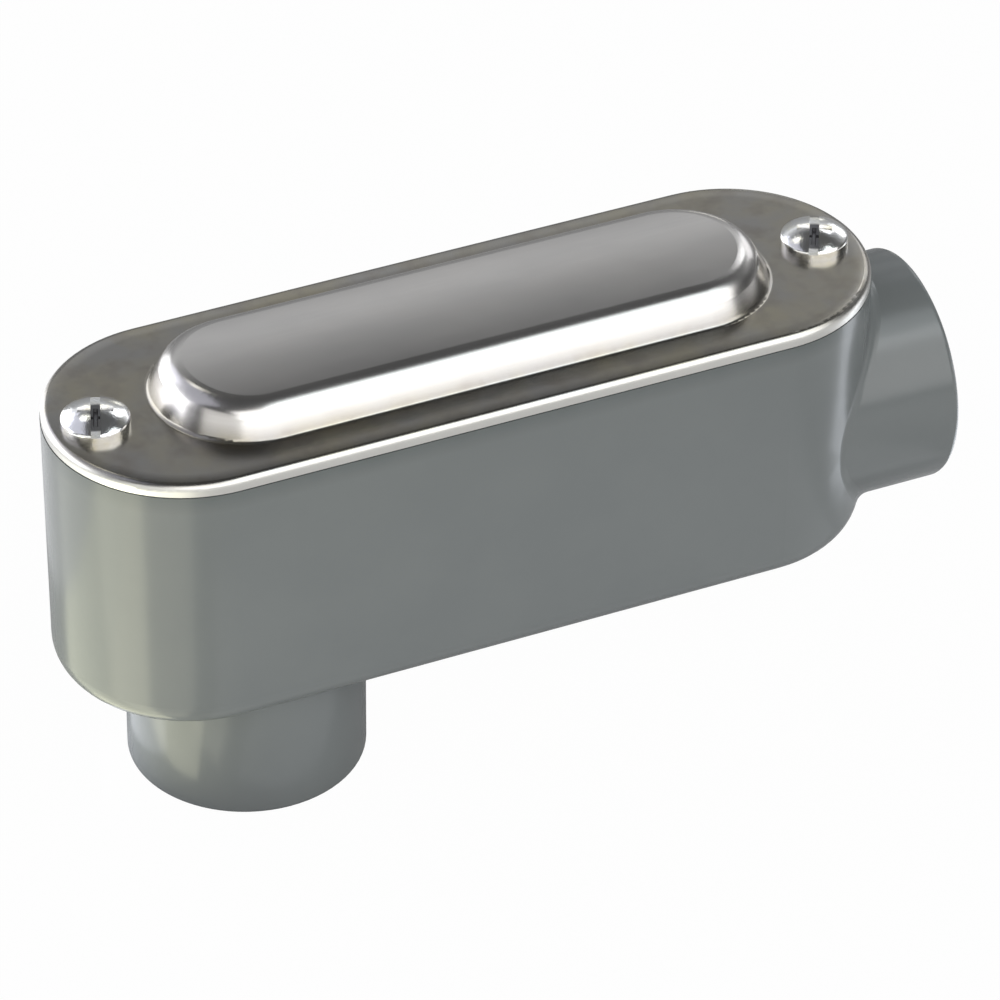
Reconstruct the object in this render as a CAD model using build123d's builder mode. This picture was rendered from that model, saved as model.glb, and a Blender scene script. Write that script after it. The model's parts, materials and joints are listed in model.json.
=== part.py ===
from build123d import *
from math import radians, tan
import os

os.makedirs("parts", exist_ok=True)

# A right-angle conduit body of the LB pattern for 3/4 in threaded conduit, in millimetres.
# One hub leaves the back of the body near its left end and the other leaves its right end.
# The origin is the centre of the back hub's mouth. +Z points to the cover, +X to the end hub.

# Body casting
body_length = 120.4             # over the two round ends
hub_side_margin = 2.9           # from the end hub's side to the body's flat side
body_depth = 39.7               # from the flat back to the open face
side_wall = 3.0
back_wall = 3.0
wall_draft = 0.5                # degrees, so that the casting leaves its mould
back_edge_radius = 4.3
chamber_floor_radius = 2.5
chamber_corner_radius = 3.5

# Hubs
thread_diameter = 26.57         # 3/4 in taper pipe thread, at its roots
thread_depth = 13.5
thread_lead_in = 0.4
throat_step = 2.835             # from the thread's root in to the smooth throat
back_hub_setback = 27.4         # from the body's left end to the back hub's axis
back_hub_wall = 3.415           # round the thread
back_hub_reach = 18.6           # from the body's flat back to the hub's mouth
back_hub_root_radius = 1.2
end_hub_wall = 3.315
end_hub_reach = 8.9             # from the body's right end to the hub's mouth
end_hub_back_margin = 0.5       # from the body's flat back to the hub's lowest side
end_hub_root_margin = 0.7       # from the hub's root rounding to the body's flat side
hub_rim_radius = 0.8
hub_roof = 3.2                  # metal over the end hub's thread, inside the chamber
shelf_margin = 1.0              # from the right boss to the edge of that metal
throat_stop_radius = 1.0
throat_lip_radius = 3.0         # the rounding that the wires are pulled over

# Cover, pressed from sheet
cover_inset = 0.1               # from the body's outline to the cover's rim, all round
cover_sheet = 0.9
cover_bend_radius = 1.0
cover_rim_gap = 0.1             # from the rim's lower edge to the open face
panel_side_margin = 6.3         # from the cover's edge to the raised panel's foot
panel_head_gap = 3.65           # from a screw's head to the raised panel's foot
panel_height = 4.2              # of the panel's sloping side
panel_slope = 25.0              # degrees that the panel's side leans in
panel_crown_radius = 80.0       # of the panel's arched top
panel_shoulder_radius = 3.5
panel_foot_radius = 0.8

# Gasket
gasket_thickness = 1.0
gasket_rim_gap = 0.25           # from the gasket to the inside of the cover's rim
gasket_overhang = 1.2           # past the chamber's wall, all round
gasket_screw_margin = 5.0       # from a screw's axis to the edge of the gasket's opening
gasket_hole_gap = 0.15          # round a screw, so tight that the gasket holds it

# Cover screws, number 10 with 32 threads to the inch
screw_end_margin = 6.7          # from the body's end to a screw's axis
screw_diameter = 4.826
screw_length = 9.525
screw_tip_chamfer = 0.5
screw_head_diameter = 9.5
screw_head_height = 2.8
screw_crown_rise = 1.5          # of the head's top above its edge
screw_head_edge_radius = 0.6
screw_slot_width = 1.3
screw_slot_depth = 1.8
screw_cross_width = 1.4
screw_cross_length = 5.0
screw_cross_depth = 2.3
screw_cross_taper = 12.0        # degrees
left_slot_angle = 69.0          # degrees from +X to the screwdriver slot
right_slot_angle = 62.0
cover_hole_gap = 0.4            # round a screw, in the cover
boss_wall = 2.2                 # round a screw, in the casting
tapped_hole_gap = 0.05          # round the thread's crest, in the casting
tapped_hole_spare = 0.7         # below the screw's tip

# Sizes that follow
back_hub_diameter = thread_diameter + 2 * back_hub_wall
end_hub_diameter = thread_diameter + 2 * end_hub_wall
end_hub_root_radius = hub_side_margin - end_hub_root_margin
body_width = end_hub_diameter + 2 * hub_side_margin
round_end_spacing = body_length - body_width
chamber_width = body_width - 2 * side_wall
chamber_depth = body_depth - back_wall
thread_radius = thread_diameter / 2
throat_radius = thread_radius - throat_step
cover_width = body_width - 2 * cover_inset
cover_rim_depth = cover_sheet + gasket_thickness - cover_rim_gap
screw_spacing = body_length - 2 * screw_end_margin
panel_length = screw_spacing - screw_head_diameter - 2 * panel_head_gap
panel_width = cover_width - 2 * panel_side_margin
panel_arch = panel_width ** 2 / 8 / panel_crown_radius
gasket_width = cover_width - 2 * cover_sheet - 2 * gasket_rim_gap
gasket_opening_width = chamber_width - 2 * gasket_overhang
gasket_opening_length = screw_spacing - 2 * gasket_screw_margin
gasket_hole_radius = screw_diameter / 2 + gasket_hole_gap
cover_hole_radius = screw_diameter / 2 + cover_hole_gap
tapped_hole_radius = screw_diameter / 2 + tapped_hole_gap
tapped_hole_depth = screw_length - cover_sheet - gasket_thickness + tapped_hole_spare
boss_diameter = screw_diameter + 2 * boss_wall
boss_foot_growth = chamber_depth * tan(radians(wall_draft))
screw_crown_radius = screw_crown_rise / 2 + screw_head_diameter ** 2 / 8 / screw_crown_rise

# Places that follow
middle_x = body_length / 2 - back_hub_setback
left_screw_x = middle_x - screw_spacing / 2
right_screw_x = middle_x + screw_spacing / 2
hub_wall_x = right_screw_x - boss_diameter / 2 - shelf_margin
end_mouth_x = middle_x + body_length / 2 + end_hub_reach
end_hub_depth = end_mouth_x - hub_wall_x
back_z = back_hub_reach
chamber_floor_z = back_z + back_wall
end_axis_z = back_z + end_hub_back_margin + end_hub_diameter / 2
shelf_z = end_axis_z + thread_radius + hub_roof
face_z = back_z + body_depth
flat_z = face_z + gasket_thickness + cover_sheet
panel_top_z = flat_z + panel_height + panel_arch
end_mouth = Plane(origin=(end_mouth_x, 0, end_axis_z), x_dir=(0, 1, 0), z_dir=(1, 0, 0))
back_mouth = Plane(origin=(0, 0, 0), x_dir=(1, 0, 0), z_dir=(0, 0, -1))
near = 0.01


# Chamber core: the space for the wires, as the core that the housing is cast around
with BuildPart() as chamber_core:
    with BuildSketch(Plane.XY.offset(face_z)):
        with Locations((middle_x, 0)):
            SlotCenterToCenter(round_end_spacing, chamber_width)
    extrude(amount=-chamber_depth, taper=wall_draft)

    # Metal round the end hub's thread, which leaves a shallow shelf above it
    with BuildSketch(Plane.XY.offset(shelf_z)):
        with Locations((hub_wall_x, 0)):
            Rectangle(body_width, body_width, align=(Align.MIN, Align.CENTER))
    extrude(amount=-body_depth, mode=Mode.SUBTRACT)
    hub_wall = chamber_core.faces().filter_by(Plane.YZ).sort_by(Axis.X)[-1]
    fillet(hub_wall.edges().sort_by(Axis.Z)[1:-1], chamber_corner_radius)
    fillet(chamber_core.faces().sort_by(Axis.Z)[0].edges(), chamber_floor_radius)

    # Left boss, standing against the round end from the floor to the open face
    with BuildSketch(Plane.XY.offset(chamber_floor_z)):
        with Locations((left_screw_x - boss_diameter / 2, 0)):
            SlotCenterToCenter(boss_diameter, boss_diameter + 2 * boss_foot_growth)
    extrude(amount=chamber_depth, taper=wall_draft, mode=Mode.SUBTRACT)

    # Right boss, standing on the shelf
    with BuildSketch(Plane.XY.offset(shelf_z)):
        with Locations((right_screw_x + boss_diameter / 2, 0)):
            SlotCenterToCenter(boss_diameter, boss_diameter)
    extrude(amount=face_z - shelf_z, mode=Mode.SUBTRACT)

# Housing: the casting with both hubs and the two screw bosses
with BuildPart() as housing:
    # Outer shell, a little narrower at the back than at the open face
    with BuildSketch(Plane.XY.offset(face_z)):
        with Locations((middle_x, 0)):
            SlotCenterToCenter(round_end_spacing, body_width)
    extrude(amount=-body_depth, taper=wall_draft)
    fillet(housing.faces().sort_by(Axis.Z)[0].edges(), back_edge_radius)

    # End hub, blended into the round end
    with BuildSketch(end_mouth):
        Circle(end_hub_diameter / 2)
    extrude(amount=-end_hub_depth)
    fillet(housing.edges(Select.NEW), end_hub_root_radius)

    # Back hub, blended into the flat back and its rounded edges
    with BuildSketch(back_mouth):
        Circle(back_hub_diameter / 2)
    extrude(amount=-chamber_floor_z)
    fillet(housing.edges(Select.NEW), back_hub_root_radius)

    # Rims of both hubs
    fillet(housing.faces().sort_by(Axis.X)[-1].edges(), hub_rim_radius)
    fillet(housing.faces().sort_by(Axis.Z)[0].edges(), hub_rim_radius)

    # Wiring chamber
    add(chamber_core.part, mode=Mode.SUBTRACT)

    # Threaded bores, each with a smooth throat behind it that opens into the chamber
    with Locations(end_mouth):
        CounterBoreHole(throat_radius, thread_radius, thread_depth, depth=end_hub_depth + throat_radius)
    with Locations(back_mouth):
        CounterBoreHole(throat_radius, thread_radius, thread_depth, depth=chamber_floor_z + throat_radius)
    round_faces = housing.faces().filter_by(GeomType.CYLINDER)
    throats = round_faces.filter_by(lambda face: abs(face.radius - throat_radius) < near)
    end_rings = throats.sort_by(Axis.X)[-1].edges().filter_by(lambda edge: edge.is_closed).sort_by(Axis.X)
    back_rings = throats.sort_by(Axis.X)[0].edges().filter_by(lambda edge: edge.is_closed).sort_by(Axis.Z)
    fillet([end_rings[0], back_rings[-1]], throat_lip_radius)
    fillet([end_rings[-1], back_rings[0]], throat_stop_radius)
    end_thread_rim = housing.faces().sort_by(Axis.X)[-1].edges().sort_by(SortBy.LENGTH)[0]
    back_thread_rim = housing.faces().sort_by(Axis.Z)[0].edges().sort_by(SortBy.LENGTH)[0]
    chamfer([end_thread_rim, back_thread_rim], thread_lead_in)

    # Tapped holes for the cover screws
    with Locations((left_screw_x, 0, face_z), (right_screw_x, 0, face_z)):
        Hole(tapped_hole_radius, depth=tapped_hole_depth)
housing.part.label = "housing"
export_step(housing.part, "parts/housing.step")

# Cover: a flat plate with a raised panel and a turned-down rim, pressed from one sheet
with BuildPart() as cover:
    with BuildSketch(Plane.XY.offset(flat_z)):
        with Locations((middle_x, 0)):
            SlotCenterToCenter(round_end_spacing, cover_width)
    extrude(amount=-cover_rim_depth)
    fillet(cover.faces().sort_by(Axis.Z)[-1].edges(), cover_bend_radius)

    # Raised panel, arched across its width
    with BuildSketch(Plane.XY.offset(flat_z)):
        with Locations((middle_x, 0)):
            SlotOverall(panel_length, panel_width)
    extrude(amount=panel_top_z - flat_z, taper=panel_slope)
    with BuildSketch(Plane.YZ.offset(middle_x)):
        with Locations((0, panel_top_z)):
            Rectangle(panel_width, 2 * panel_height)
        with Locations((0, panel_top_z - panel_crown_radius)):
            Circle(panel_crown_radius, mode=Mode.SUBTRACT)
    extrude(amount=panel_length, both=True, mode=Mode.SUBTRACT)
    shoulder = cover.edges().filter_by(lambda edge: edge.bounding_box().min.Z > flat_z + panel_height / 2)
    fillet(shoulder, panel_shoulder_radius)
    flat = cover.faces().filter_by(Plane.XY).filter_by(lambda face: abs(face.center().Z - flat_z) < near)
    fillet(flat[0].inner_wires().edges(), panel_foot_radius)

    # Hollow underneath, at the sheet's thickness
    offset(amount=-cover_sheet, openings=cover.faces().sort_by(Axis.Z)[0])

    # Clearance holes for the screws
    with Locations((left_screw_x, 0, flat_z), (right_screw_x, 0, flat_z)):
        Hole(cover_hole_radius)
cover.part.label = "cover"
export_step(cover.part, "parts/cover.step")

# Gasket: a flat ring on the housing's open face, inside the cover's rim
with BuildPart() as gasket:
    with BuildSketch(Plane.XY.offset(face_z)):
        with Locations((middle_x, 0)):
            SlotCenterToCenter(round_end_spacing, gasket_width)
            SlotOverall(gasket_opening_length, gasket_opening_width, mode=Mode.SUBTRACT)
        with Locations((left_screw_x, 0), (right_screw_x, 0)):
            Circle(gasket_hole_radius, mode=Mode.SUBTRACT)
    extrude(amount=gasket_thickness)
gasket.part.label = "gasket"
export_step(gasket.part, "parts/gasket.step")

# Cover screws: pan heads with a slot across a cross recess
for name, screw_x, slot_angle in (
    ("left_cover_screw", left_screw_x, left_slot_angle),
    ("right_cover_screw", right_screw_x, right_slot_angle),
):
    head_top = Plane(origin=(screw_x, 0, flat_z + screw_head_height)).rotated((0, 0, slot_angle))
    with BuildPart() as screw:
        # Head and shank, turned from one outline
        with BuildSketch(Plane(origin=(screw_x, 0, flat_z), x_dir=(1, 0, 0), z_dir=(0, -1, 0))):
            with BuildLine():
                outline = Polyline(
                    (0, -screw_length),
                    (screw_diameter / 2 - screw_tip_chamfer, -screw_length),
                    (screw_diameter / 2, -screw_length + screw_tip_chamfer),
                    (screw_diameter / 2, 0),
                    (screw_head_diameter / 2, 0),
                    (screw_head_diameter / 2, screw_head_height - screw_crown_rise),
                )
                crown = RadiusArc(outline @ 1, (0, screw_head_height), -screw_crown_radius)
                Line(crown @ 1, outline @ 0)
            make_face()
        revolve(axis=Axis((screw_x, 0, flat_z), (0, 0, 1)))
        head_edge = screw.edges().filter_by(lambda edge: edge.is_closed).sort_by(Axis.Z)[-1]
        fillet(head_edge, screw_head_edge_radius)

        # Screwdriver slot
        with BuildSketch(head_top):
            Rectangle(2 * screw_head_diameter, screw_slot_width)
        extrude(amount=-screw_slot_depth, mode=Mode.SUBTRACT)

        # Cross recess
        with BuildSketch(head_top):
            Rectangle(screw_cross_length, screw_cross_width)
            Rectangle(screw_cross_width, screw_cross_length)
        extrude(amount=-screw_cross_depth, taper=screw_cross_taper, mode=Mode.SUBTRACT)
    screw.part.label = name
    export_step(screw.part, f"parts/{name}.step")
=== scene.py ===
import json
import math

import bmesh
import bpy
import numpy as np
from mathutils import Matrix


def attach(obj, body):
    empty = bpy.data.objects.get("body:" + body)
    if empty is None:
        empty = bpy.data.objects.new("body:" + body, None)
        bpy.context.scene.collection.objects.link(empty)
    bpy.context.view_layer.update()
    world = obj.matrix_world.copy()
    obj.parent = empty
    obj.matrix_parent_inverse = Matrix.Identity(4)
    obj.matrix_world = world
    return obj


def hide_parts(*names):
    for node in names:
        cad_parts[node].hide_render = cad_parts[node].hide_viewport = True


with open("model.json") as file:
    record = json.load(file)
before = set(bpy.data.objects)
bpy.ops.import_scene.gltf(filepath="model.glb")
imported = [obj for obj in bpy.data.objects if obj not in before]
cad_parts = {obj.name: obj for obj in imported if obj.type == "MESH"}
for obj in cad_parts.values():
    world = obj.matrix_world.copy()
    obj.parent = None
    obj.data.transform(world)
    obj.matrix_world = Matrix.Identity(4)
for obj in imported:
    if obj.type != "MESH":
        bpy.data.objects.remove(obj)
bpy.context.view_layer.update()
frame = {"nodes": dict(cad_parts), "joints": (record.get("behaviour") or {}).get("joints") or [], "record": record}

MM = 0.001


def place_of(entries, name):
    """Where the record puts a mount or a joint, in millimetres."""
    place = next(entry["pos_m"] for entry in entries if entry["name"] == name)
    return [v / MM for v in place]


# Places on the part, in millimetres. A screw's is where its axis meets the cover's flat.
BACK_HUB = place_of(frame["record"]["mounts"], "back_hub")
END_HUB = place_of(frame["record"]["mounts"], "end_hub")
LEFT_SCREW = place_of(frame["joints"], "left_screw_turn")
RIGHT_SCREW = place_of(frame["joints"], "right_screw_turn")
SCREWS = {"left_cover_screw": ("left_screw", LEFT_SCREW),
          "right_cover_screw": ("right_screw", RIGHT_SCREW)}
COVER_FLAT = LEFT_SCREW[2]                              # a height
BODY_MIDDLE = (LEFT_SCREW[0] + RIGHT_SCREW[0]) / 2      # along the body


# Shader maths

class Field:
    """A socket that Python's operators work on: each operator adds the Math node that it stands for."""

    def __init__(self, finish, socket):
        self.finish, self.socket = finish, socket

    def math(self, operation, *others):
        return self.finish.math(operation, self, *others)

    def __add__(self, other):
        return self.math("ADD", other)

    def __sub__(self, other):
        return self.math("SUBTRACT", other)

    def __rsub__(self, other):
        return self.finish.math("SUBTRACT", other, self)

    def __mul__(self, other):
        return self.math("MULTIPLY", other)

    def __truediv__(self, other):
        return self.math("DIVIDE", other)

    def __pow__(self, other):
        return self.math("POWER", other)

    __radd__, __rmul__ = __add__, __mul__

    def length(self, other):
        """The square root of the two squares added together."""
        return (self * self + other * other) ** 0.5

    def step(self, start, end):
        """A straight ramp from 0 at start to 1 at end, level past either. Start may be the larger one."""
        return self.finish.node("ShaderNodeMapRange", {"clamp": True}, self, start, end, 0.0, 1.0)


def set_stops(ramp, stops):
    """Gives a colour ramp, which comes with two stops, its places and colours."""
    for n, (place, colour) in enumerate(stops):
        stop = ramp[n] if n < len(ramp) else ramp.new(place)
        stop.position, stop.color = place, colour


class Finish:
    """A node tree under construction, for a material or the world."""

    def __init__(self, tree):
        self.tree = tree
        tree.nodes.clear()

    def node(self, kind, settings, *inputs, output=0, **named):
        """Adds a node, sets it up, gives its sockets their values or links, and returns one of its
        outputs. None leaves a socket as it is."""
        node = self.tree.nodes.new(kind)
        for key, value in settings.items():
            if key == "stops":
                set_stops(node.color_ramp.elements, value)
            else:
                setattr(node, key, value)
        by_name = [(key.replace("_", " "), value) for key, value in named.items()]
        for key, value in [*enumerate(inputs), *by_name]:
            if isinstance(value, Field):
                self.tree.links.new(value.socket, node.inputs[key])
            elif value is not None:
                node.inputs[key].default_value = value
        return Field(self, node.outputs[output]) if node.outputs else None

    def math(self, operation, *values):
        return self.node("ShaderNodeMath", {"operation": operation}, *values)

    def place(self):
        """The point of the surface in millimetres, in the object's own frame."""
        here = self.node("ShaderNodeTexCoord", {}, output="Object")
        return self.scaled(here, (1 / MM, 1 / MM, 1 / MM))

    def scaled(self, vector, factors):
        return self.node("ShaderNodeVectorMath", {"operation": "MULTIPLY"}, vector, factors)

    def parts(self, vector, axes="XYZ"):
        return [self.node("ShaderNodeSeparateXYZ", {}, vector, output=axis) for axis in axes]

    def noise(self, vector, scale, detail=2.0, roughness=0.5):
        return self.node("ShaderNodeTexNoise", {}, Vector=vector, Scale=scale, Detail=detail,
                         Roughness=roughness)

    def blend(self, factor, first, second):
        """A colour between two, by a factor. A Mix node has five sockets between its factor and its
        colours, and its colour is its third output."""
        unused = [None] * 5
        return self.node("ShaderNodeMix", {"data_type": "RGBA"}, factor, *unused, first, second, output=2)

    def relief(self, height, depth, normal=None):
        """A bump of the given depth in millimetres."""
        return self.node("ShaderNodeBump", {}, Height=height, Strength=1.0, Distance=depth * MM,
                         Normal=normal)

    def close(self, shader, kind="ShaderNodeOutputMaterial"):
        """Ends the tree with its output node."""
        self.node(kind, {}, Surface=shader)

    def principled(self, **sockets):
        """Ends a material with one principled surface."""
        self.close(self.node("ShaderNodeBsdfPrincipled", {}, **sockets))


def new_finish(name):
    material = bpy.data.materials.new(name)
    material.use_nodes = True
    return material, Finish(material.node_tree)


def grey(level):
    return level, level, level, 1.0


def painted_casting():
    """Grey enamel on a casting: slight orange peel over a slightly wavy skin, and painted shade that darkens
    the enamel in a band under the cover's rim. It is bare metal where the tap has cut: nearer to a bore's
    axis than the metal's radius, and nearer to the bore's mouth than the metal's depth."""
    enamel, pale_enamel = (0.129, 0.139, 0.139, 1), (0.136, 0.146, 0.145, 1)
    speck, rim_painted_shade = (0.11, 0.12, 0.12, 1), (0.075, 0.085, 0.083, 1)
    cut_metal = (0.62, 0.62, 0.61, 1)
    paint_radius, metal_radius = 13.9, 13.75
    paint_depth, metal_depth = 14.4, 14.3
    # Painted shade: a band of darker enamel under the cover's rim, between these heights
    rim_shade_start, rim_shade_end = COVER_FLAT - 4.7, COVER_FLAT - 1.9

    material, f = new_finish("grey_enamel_on_casting")
    at = f.place()
    x, y, z = f.parts(at)
    peel = f.noise(at, 1.3)
    waves = f.noise(at, 0.16)
    patches = f.noise(at, 0.06, detail=3.0, roughness=0.6)
    specks = f.noise(at, 3.1, detail=1.0).step(0.70, 0.76)
    back_bore = x.length(y).step(paint_radius, metal_radius) * z.step(paint_depth, metal_depth)
    end_bore = (y.length(z - END_HUB[2]).step(paint_radius, metal_radius)
                * x.step(END_HUB[0] - paint_depth, END_HUB[0] - metal_depth))
    bare = back_bore.math("MAXIMUM", end_bore)

    paint = f.blend(patches.step(0.35, 0.65), enamel, pale_enamel)
    paint = f.blend(specks * 0.10, paint, speck)
    # Painted shade darkens the enamel towards the cover's rim
    paint = f.blend(z.step(rim_shade_start, rim_shade_end) * (0.30 + waves * 0.5), paint, rim_painted_shade)
    skin = f.relief(waves, 0.03)
    skin = f.relief(peel, 0.0025, skin)
    f.principled(Base_Color=f.blend(bare, paint, cut_metal), Metallic=bare,
                 Roughness=0.22 + (peel - 0.5) * 0.05 + bare * 0.06, Normal=skin, IOR=1.5)
    return material


def brushed_steel():
    """Rolled sheet steel: a fine soft grain along the cover, warm stains on its flat, a cleaner raised
    panel and a dull, pale rim. The flat bows down a little towards the rim, as pressed sheet does: by
    the square of how far a point is past the bow's start, where its distance is measured from the line
    between the centres of the cover's round ends."""
    clean, stained = (0.315, 0.306, 0.293, 1), (0.35, 0.325, 0.262, 1)
    blotched = (0.26, 0.238, 0.215, 1)
    panel_dark, panel_pale = (0.55, 0.535, 0.52, 1), (0.59, 0.57, 0.55, 1)
    rim_dark, rim_pale = (0.58, 0.57, 0.545, 1), (0.65, 0.64, 0.605, 1)
    panel_foot, panel_shoulder = COVER_FLAT + 0.2, COVER_FLAT + 2.3
    rim_top, rim_side = COVER_FLAT - 0.05, COVER_FLAT - 0.45
    end_centre, bow_start, bow_width, bow_depth = 40.7, 16.6, 2.4, 0.17

    material, f = new_finish("brushed_cover_steel")
    at = f.place()
    x, y, z = f.parts(at)
    grain = f.noise(f.scaled(at, (0.09, 3.2, 3.2)), 1.0, detail=3.0, roughness=0.55)
    streaks = f.noise(f.scaled(at, (0.05, 0.16, 0.16)), 1.0)
    stains = f.noise(at, 0.11, detail=3.0, roughness=0.55)
    blotches = f.noise(at, 0.23, detail=3.0, roughness=0.6)
    raised = z.step(panel_foot, panel_shoulder)
    edge = z.step(rim_top, rim_side)
    flat = f.blend(stains.step(0.38, 0.68), clean, stained)
    flat = f.blend(blotches.step(0.48, 0.72) * 0.7, flat, blotched)
    panel = f.blend(streaks.step(0.3, 0.7), panel_dark, panel_pale)
    rim = f.blend(stains, rim_dark, rim_pale)
    past_end = ((x - BODY_MIDDLE).math("ABSOLUTE") - end_centre).math("MAXIMUM", 0.0)
    bow = ((past_end.length(y) - bow_start) / bow_width).math("MAXIMUM", 0.0)
    skin = f.relief(f.noise(at, 0.07), 0.05)
    skin = f.relief(grain, 0.0008, skin)
    skin = f.relief(bow * bow * -1.0, bow_depth, skin)
    f.principled(Base_Color=f.blend(raised, f.blend(edge, flat, rim), panel), Metallic=1.0,
                 Roughness=0.20 + (grain - 0.5) * 0.05 + stains * 0.06 + edge * 0.12, Normal=skin)
    return material


def gasket_rubber():
    """Dark moulded rubber with a fine dusty grain."""
    material, f = new_finish("gasket_rubber")
    at = f.place()
    dust = f.noise(at, 0.7, detail=4.0, roughness=0.7)
    grain = f.noise(at, 5.0)
    f.principled(Base_Color=f.blend(dust, grey(0.018), grey(0.045)),
                 Roughness=0.75 + (dust - 0.5) * 0.3, Normal=f.relief(grain, 0.02))
    return material


def bare_thread():
    """Cut aluminium with the fine lines of the tap."""
    material, f = new_finish("cut_aluminium_thread")
    lines = f.noise(f.place(), 2.2, detail=4.0, roughness=0.7)
    f.principled(Base_Color=f.blend(lines, grey(0.50), grey(0.66)), Metallic=1.0,
                 Roughness=0.30 + (lines - 0.5) * 0.2, Normal=f.relief(lines, 0.02))
    return material


def plated_screw():
    """Bright plating, a little clouded and yellowish. Down in the recess it is rougher, and painted shade
    darkens it: below the head's top, above the cover and near the screw's axis."""
    clear_plating, clouded_plating = grey(0.90), (0.86, 0.83, 0.70, 1)
    # Painted shade, for down in the recess
    recess_painted_shade = (0.10, 0.10, 0.11, 1)
    recess_top, recess_side = COVER_FLAT + 2.05, COVER_FLAT + 1.4
    recess_floor, recess_base = COVER_FLAT + 0.3, COVER_FLAT + 0.2
    recess_radius, recess_inside = 3.3, 2.9

    material, f = new_finish("bright_plated_screw")
    at = f.place()
    x, y, z = f.parts(at)
    cloud = f.noise(at, 0.45, detail=3.0, roughness=0.6)
    pits = f.noise(at, 2.6, detail=3.0, roughness=0.6)
    is_right = x.math("GREATER_THAN", BODY_MIDDLE)
    from_axis = (x - is_right * (RIGHT_SCREW[0] - LEFT_SCREW[0]) - LEFT_SCREW[0]).length(y)
    recess_rough_and_shaded = (z.step(recess_top, recess_side) * from_axis.step(recess_radius, recess_inside)
           * z.step(recess_base, recess_floor))
    colour = f.blend(cloud.step(0.45, 0.7) * 0.6, clear_plating, clouded_plating)
    # Painted shade: the recess's colour is darkened nearly to black; its roughness rises as well
    f.principled(Base_Color=f.blend(recess_rough_and_shaded * 0.9, colour, recess_painted_shade), Metallic=1.0,
                 Roughness=0.12 + pits * 0.08 + recess_rough_and_shaded * 0.2, Normal=f.relief(pits, 0.02))
    return material


def stage_floor():
    """A pale floor that shows white to the camera, keeps a soft shadow and is clear from below.
    Reflections see it pale as well, with painted shade: darker behind the body and in a long patch round it."""
    patch_stretch, patch_start, patch_end = 1.7, 35.0, 140.0
    back_start, back_end, left_start, left_end = 10.0, 60.0, -30.0, 0.0

    material, f = new_finish("pale_floor")
    to_camera, to_gloss, to_glass = [f.node("ShaderNodeLightPath", {}, output=kind) for kind in
                                     ("Is Camera Ray", "Is Glossy Ray", "Is Transmission Ray")]
    x, y = f.parts(f.place(), "XY")
    away = ((x - BODY_MIDDLE) / patch_stretch).length(y).step(patch_start, patch_end)
    behind = y.step(back_start, back_end) * x.step(left_start, left_end)
    # Painted shade in reflections: near the body and behind it the floor's glow fades
    shown = to_camera * 0.98 + (to_gloss + to_glass) * away * (0.6 - behind * 0.38)
    # Painted shade in reflections: behind the body the floor turns nearly black
    tone = f.blend(to_gloss * behind * 0.7, grey(0.50), grey(0.02))
    plain = f.node("ShaderNodeBsdfDiffuse", {}, Color=tone)
    white = f.node("ShaderNodeEmission", {}, Color=grey(1.0), Strength=1.0)
    lit = f.node("ShaderNodeMixShader", {}, shown, plain, white)
    clear = f.node("ShaderNodeBsdfTransparent", {})
    below = f.node("ShaderNodeNewGeometry", {}, output="Backfacing")
    f.close(f.node("ShaderNodeMixShader", {}, below, lit, clear))
    return material


# Surfaces

def mesh_object(name, points, faces, material, closed=True):
    """An object from points and faces. In a closed surface, points that coincide are merged and faces
    look outwards."""
    merge_distance, sharp_angle = 0.0005 * MM, math.radians(28)
    mesh = bpy.data.meshes.new(name)
    mesh.from_pydata(points.tolist(), [], faces)
    if closed:
        work = bmesh.new()
        work.from_mesh(mesh)
        bmesh.ops.remove_doubles(work, verts=work.verts, dist=merge_distance)
        bmesh.ops.recalc_face_normals(work, faces=work.faces)
        work.to_mesh(mesh)
        work.free()
    mesh.materials.append(material)
    mesh.polygons.foreach_set("use_smooth", np.ones(len(mesh.polygons), bool))
    mesh.set_sharp_from_angle(angle=sharp_angle)
    thing = bpy.data.objects.new(name, mesh)
    bpy.context.scene.collection.objects.link(thing)
    return thing


def grid_faces(rows, columns, shift=0):
    """Quads of a grid that closes on itself: its last column joins its first, shift rows further on."""
    row, column = np.meshgrid(np.arange(rows - 1), np.arange(columns), indexing="ij")
    here = row * columns + column
    beside = np.where(column == columns - 1, (row + shift) * columns, here + 1)
    return np.stack([here, beside, beside + columns, here + columns], -1).reshape(-1, 4)


def threaded_tube(pitch, stops, rises, start, end, radius, plain):
    """Points and faces of a tube with a thread on one side, and plain on the other, as (distance from
    the axis, angle, depth). Stop k of turn t at angle a lies at the depth start + (t - 1) * pitch
    + stops[k] + pitch * a / (2 * pi), held between start and end, and radius(depth, rises[k]) gives its
    distance. The ridges so shift by one pitch in a turn. Rings at the plain distance close the tube."""
    columns, rows = 96, len(stops)
    turns = math.ceil((end - start) / pitch) + 2
    row, column = np.meshgrid(np.arange(rows * (turns + 1)), np.arange(columns), indexing="ij")
    angle = 2 * np.pi * column / columns
    depth = start + (row // rows - 1) * pitch + np.array(stops)[row % rows] + pitch * angle / (2 * np.pi)
    rise = np.where((depth > start) & (depth < end), np.array(rises)[row % rows], 0.0)
    depth = np.clip(depth, start, end)
    thread = np.stack([radius(depth, rise), angle, depth], -1).reshape(-1, 3)
    ring = np.array([[radius(end, 0.0), end], [plain, end], [plain, start], [radius(start, 0.0), start]])
    distances, depths = np.repeat(ring, columns, axis=0).T
    side = np.stack([distances, np.tile(angle[0], len(ring)), depths], -1)
    side_faces = grid_faces(len(ring), columns) + len(thread)
    faces = np.vstack([grid_faces(rows * turns, columns, rows), side_faces])
    return np.vstack([thread, side]), faces.tolist()


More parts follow.
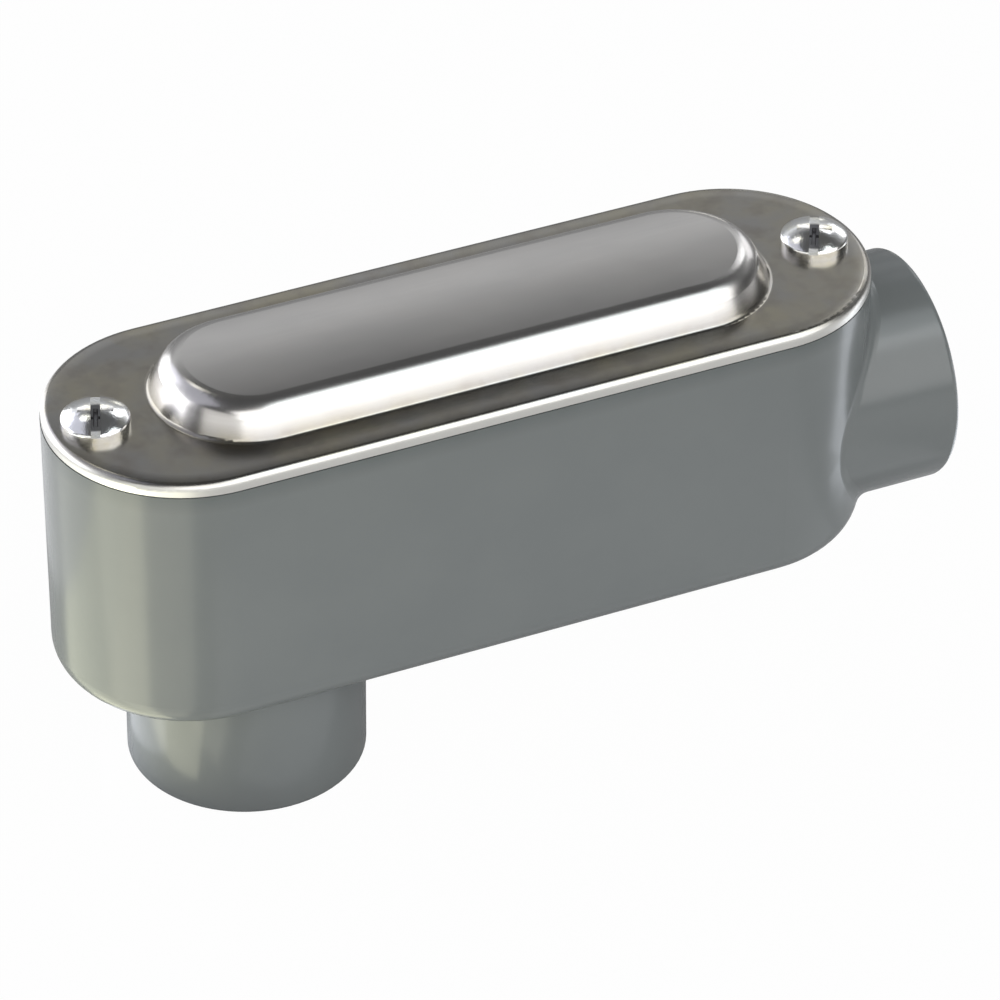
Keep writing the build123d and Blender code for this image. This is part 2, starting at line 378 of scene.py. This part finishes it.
def round_axis(points, origin, across, inward):
    """Points given as (distance, angle, depth) put round an axis: origin + distance * (across * cos
    + up * sin) + depth * inward, where up makes the thread right-handed. Millimetres become metres."""
    across, inward = np.array(across, float), np.array(inward, float)
    up = np.cross(inward, across)
    distance, angle, depth = points.T[..., None]
    outward = across * np.cos(angle) + up * np.sin(angle)
    return (np.array(origin) + distance * outward + depth * inward) * MM


def tapped_thread(name, mouth, across, inward, material):
    """Taper pipe thread in a hub's bore, cut back where the mouth is chamfered: its distance from the
    axis is root - depth / taper - height * rise, and at least root + chamfer - depth. Its plain side is
    hidden in the casting."""
    pitch, height, root, chamfer = 1.814, 1.30, 13.27, 0.42
    taper, depth_end, wall = 32, 13.46, 0.5
    flank = height * math.tan(math.radians(30))
    flat = pitch / 2 - flank

    def radius(depth, rise):
        return np.maximum(root - depth / taper - height * rise, root + chamfer - depth)

    stops, rises = (0.0, flat, flat + flank, 2 * flat + flank), (0.0, 0.0, 1.0, 1.0)
    points, faces = threaded_tube(pitch, stops, rises, chamfer, depth_end, radius, root + wall)
    thing = mesh_object(name, round_axis(points, mouth, across, inward), faces, material)
    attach(thing, "housing")


def threaded_screw(node_name, material):
    """A cover screw: the solid's own head and recess on a shank that is thinned down to the thread's
    root, and a ridge wound round it, whose distance from the axis is root - sunk + (crest - root) * rise
    * taper. Taper goes from 1 down to 0 at the neck and at the tip. The ridge's plain side is hidden in
    the shank."""
    crest, root, pitch, neck, tip = 2.413, 1.94, 0.79375, 0.8, 9.2
    neck_run, tip_run, sunk, core = 0.4, 0.6, 0.02, 1.6
    stops, rises = (0.0, 0.14, 0.4175, 0.516), (0.0, 0.0, 1.0, 1.0)
    height_slack, radius_slack = 0.01, 0.02
    body, place = SCREWS[node_name]

    solid = frame["nodes"][node_name].data
    points = np.empty(3 * len(solid.vertices))
    counts, corners = np.empty(len(solid.polygons), int), np.empty(len(solid.loops), int)
    solid.vertices.foreach_get("co", points)
    solid.polygons.foreach_get("loop_total", counts)
    solid.loops.foreach_get("vertex_index", corners)
    points = points.reshape(-1, 3)
    axis = np.array(place[:2]) * MM
    off = points[:, :2] - axis
    below_head = points[:, 2] < (COVER_FLAT + height_slack) * MM
    shank = below_head & (np.hypot(*off.T) < (crest + radius_slack) * MM)
    points[shank, :2] = axis + off[shank] * root / crest
    faces = [c.tolist() for c in np.split(corners, np.cumsum(counts)[:-1])]

    def radius(depth, rise):
        at_tip, at_neck = (tip - depth) / tip_run, (depth - neck) / neck_run
        return root - sunk + (crest - root) * rise * np.clip(at_tip, 0.0, 1.0) * np.clip(at_neck, 0.0, 1.0)

    ridge, ridge_faces = threaded_tube(pitch, stops, rises, neck, tip, radius, core)
    ridge = round_axis(ridge, place, (1, 0, 0), (0, 0, -1))
    faces += [[corner + len(points) for corner in face] for face in ridge_faces]
    thing = mesh_object(node_name + "_threaded", np.vstack([points, ridge]), faces, material)
    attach(thing, body)
    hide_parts(node_name)


# Finishes on the solids
finishes = {"housing": painted_casting(), "cover": brushed_steel(), "gasket": gasket_rubber()}
screw_finish = plated_screw()
for screw in SCREWS:
    finishes[screw] = screw_finish
for name, material in finishes.items():
    node = frame["nodes"][name]
    node.data.materials.clear()
    node.data.materials.append(material)

# Stage: the floor lies a little below the part, in metres
floor_size, floor_drop = 40.0, 0.0002
corners = np.array([[-1, -1, 0], [1, -1, 0], [1, 1, 0], [-1, 1, 0]]) * floor_size / 2
corners = corners - (0, 0, floor_drop)
floor = mesh_object("floor", corners, [[0, 1, 2, 3]], stage_floor(), closed=False)


# Light

def direction(azimuth, elevation):
    """A unit vector. Azimuth 0 is the front of the body, 90 its right end. Elevation is above level."""
    a, e = math.radians(azimuth), math.radians(elevation)
    return np.array([math.sin(a) * math.cos(e), -math.cos(a) * math.cos(e), math.sin(e)])


def area_lamp(name, middle, back, side, width, height, brightness, tint):
    """A rectangular lamp. Back is the unit vector behind it, side runs along its width, and brightness is its
    radiance, so 1 looks white in a mirror."""
    lamp = bpy.data.lights.new(name, "AREA")
    lamp.shape, lamp.size, lamp.size_y = "RECTANGLE", width, height
    lamp.energy = brightness * math.pi * width * height
    lamp.color = tint
    thing = bpy.data.objects.new(name, lamp)
    side = side / np.linalg.norm(side)
    turn = np.eye(4)
    turn[:3, 0], turn[:3, 1], turn[:3, 2], turn[:3, 3] = side, np.cross(back, side), back, middle
    thing.matrix_world = Matrix(turn)
    thing.visible_camera = False
    bpy.context.scene.collection.objects.link(thing)


def upright_card(name, middle, azimuth, elevation, *settings):
    """A lamp that faces away from a direction, with its width level."""
    back = direction(azimuth, elevation)
    area_lamp(name, middle, back, np.cross((0, 0, 1), back), *settings)


# Softboxes round the body: azimuth, elevation, then distance, width and height in metres, brightness and tint
SOFTBOX_AIM = np.array([BODY_MIDDLE, 0, 40]) * MM
SOFTBOXES = {
    "front_softbox": (14, 33, 0.9, 1.50, 0.92, 2.15, (1.0, 1.0, 1.0)),
    "front_left_card": (-50, 17, 0.9, 0.82, 0.44, 1.0, (1.0, 1.0, 0.98)),
    "left_fill_card": (-98, 14, 0.95, 0.46, 0.44, 0.38, (0.95, 0.96, 1.05)),
    "right_back_card": (124, 19, 0.9, 0.36, 0.28, 1.3, (0.98, 0.99, 1.03)),
    "back_right_card": (147, 5, 0.9, 0.12, 0.12, 1.1, (1.0, 0.99, 0.92)),
    "upper_right_card": (130, 38, 0.9, 0.20, 0.18, 2.4, (0.97, 0.99, 1.02)),
    "upper_back_card": (-165, 58, 0.9, 0.16, 0.14, 2.0, (1.0, 0.99, 0.88)),
    "right_top_card": (46, 57, 0.9, 0.50, 0.34, 2.1, (0.90, 0.97, 1.0)),
    "left_top_card": (-118, 46, 0.9, 0.95, 0.75, 0.55, (0.93, 0.95, 1.10)),
    "back_left_card": (-133, 11, 0.43, 0.62, 0.24, 2.6, (0.96, 0.97, 1.0)),
    "back_top_card": (-152, 33, 0.9, 0.40, 0.26, 1.0, (0.94, 0.95, 1.14)),
}
for name, (azimuth, elevation, distance, *settings) in SOFTBOXES.items():
    middle = SOFTBOX_AIM + direction(azimuth, elevation) * distance
    upright_card(name, middle, azimuth, elevation, *settings)

# The table is lit from within in strips. Four run outwards from the body's left end, and a fifth lies
# behind that end. The others run out past its right end, lie close in front of it, and lie well behind
# it. Each has a corner in millimetres, the azimuth that it runs in, its ends along and across that, its
# brightness and its tint. Across is counted towards the back, or to the left in a strip that runs
# straight forwards or backwards. Each lies a step above the one before it, so that both count where they
# overlap.
LIT_TABLE = {
    "lit_table_front": ((-18, -20), -15, (0, 450), (0, 110), 1.15, (1.0, 0.99, 0.80)),
    "lit_table_left": ((-22, -16), -57, (-5, 450), (0, 24), 2.3, (1.0, 0.99, 0.72)),
    "lit_table_middle": ((-22, -16), -57, (-2, 450), (24, 60), 2.0, (0.98, 1.0, 0.74)),
    "lit_table_back": ((-22, -16), -57, (-2, 450), (60, 110), 1.2, (0.97, 0.99, 0.94)),
    "lit_table_corner": ((-22, -16), -57, (-90, -2), (60, 150), 0.45, (0.97, 0.98, 1.04)),
    "lit_table_right": ((122, 5), 90, (0, 375), (-36, 0), 2.0, (0.92, 0.97, 1.05)),
    "lit_table_near": ((-12, -21), 0, (0, 60), (-125, 0), 0.35, (0.97, 1.0, 1.03)),
    "lit_table_behind": ((-28, 120), 180, (0, 220), (0, 150), 1.6, (0.98, 0.99, 1.02)),
}
LIT_TABLE_HEIGHT, LIT_TABLE_STEP = 0.3, 0.1
for level, (name, (corner, azimuth, along, across, *settings)) in enumerate(LIT_TABLE.items()):
    out = direction(azimuth, 0)
    aside = direction(azimuth + 90 if azimuth > 0 else azimuth - 90, 0)
    middle = np.array([*corner, LIT_TABLE_HEIGHT + LIT_TABLE_STEP * level])
    middle = middle + out * sum(along) / 2 + aside * sum(across) / 2
    width, height = (along[1] - along[0]) * MM, (across[1] - across[0]) * MM
    area_lamp(name, middle * MM, np.array([0.0, 0.0, -1.0]), out, width, height, *settings)

# A small card beside the back hub, with its place and size in metres
hub_card_place, hub_card_width, hub_card_height = (-0.021, 0.0027, 0.0062), 0.016, 0.012
upright_card("hub_card", hub_card_place, -110, 0, hub_card_width, hub_card_height, 1.2,
             (0.95, 0.98, 1.06))

# Room: dim above and around, with a soft light band low behind the body. The band's levels go by the
# height of a direction, where 0 is level or below and 1 is straight up.
BAND = ((0.0, 0.24), (0.30, 0.28), (0.39, 0.48), (0.454, 0.82), (0.515, 0.64), (0.588, 0.34),
        (0.67, 0.26), (0.766, 0.01), (1.0, 0.0))
ROOM_LEVEL = 0.085
world = bpy.data.worlds.new("studio")
bpy.context.scene.world = world
world.use_nodes = True
sky = Finish(world.node_tree)
ahead, upward = sky.parts(sky.node("ShaderNodeTexCoord", {}, output="Generated"), "YZ")
stops = [(place, grey(level)) for place, level in BAND]
band = sky.node("ShaderNodeValToRGB", {"stops": stops}, upward)
light = band * ahead.step(-0.1, 0.6) + ROOM_LEVEL
room = sky.node("ShaderNodeBackground", {}, sky.blend(light, grey(0.0), (0.98, 1.0, 1.02, 1)), 1.0)
white = sky.node("ShaderNodeBackground", {}, grey(1.0), 1.0)
seen = sky.node("ShaderNodeLightPath", {}, output="Is Camera Ray")
sky.close(sky.node("ShaderNodeMixShader", {}, seen, room, white), "ShaderNodeOutputWorld")

# Camera, as fitted to the photo's outline: degrees, millimetres of lens and film, and metres from the
# middle of the cover's flat, away from it, to the right and down
CAMERA_AZIMUTH, CAMERA_ELEVATION, CAMERA_ROLL = -24.8192, 36.3274, 0.5441
CAMERA_LENS, FILM_WIDTH = 222.2756, 36.0
CAMERA_AWAY, CAMERA_RIGHT, CAMERA_DOWN = 0.8396646, 0.0051014, 0.0229574
camera = bpy.data.cameras.new("camera")
camera.lens, camera.sensor_width = CAMERA_LENS, FILM_WIDTH
camera.clip_start, camera.clip_end = 0.05, 50.0
view = bpy.data.objects.new("camera", camera)
bpy.context.scene.collection.objects.link(view)
back = direction(CAMERA_AZIMUTH, CAMERA_ELEVATION)
level = direction(CAMERA_AZIMUTH + 90, 0)
upright = np.cross(back, level)
roll = math.radians(CAMERA_ROLL)
right = math.cos(roll) * level + math.sin(roll) * upright
top = math.cos(roll) * upright - math.sin(roll) * level
stand = np.array([BODY_MIDDLE, 0, COVER_FLAT]) * MM
stand = stand + back * CAMERA_AWAY + right * CAMERA_RIGHT - top * CAMERA_DOWN
matrix = np.eye(4)
matrix[:3, 0], matrix[:3, 1], matrix[:3, 2], matrix[:3, 3] = right, top, back, stand
view.matrix_world = Matrix(matrix)
bpy.context.scene.camera = view
bpy.context.scene.view_settings.view_transform = "Standard"

# Pieces that the solids leave plain
thread_metal = bare_thread()
tapped_thread("back_hub_thread", BACK_HUB, (1, 0, 0), (0, 0, 1), thread_metal)
tapped_thread("end_hub_thread", END_HUB, (0, 1, 0), (-1, 0, 0), thread_metal)
for screw in SCREWS:
    threaded_screw(screw, screw_finish)
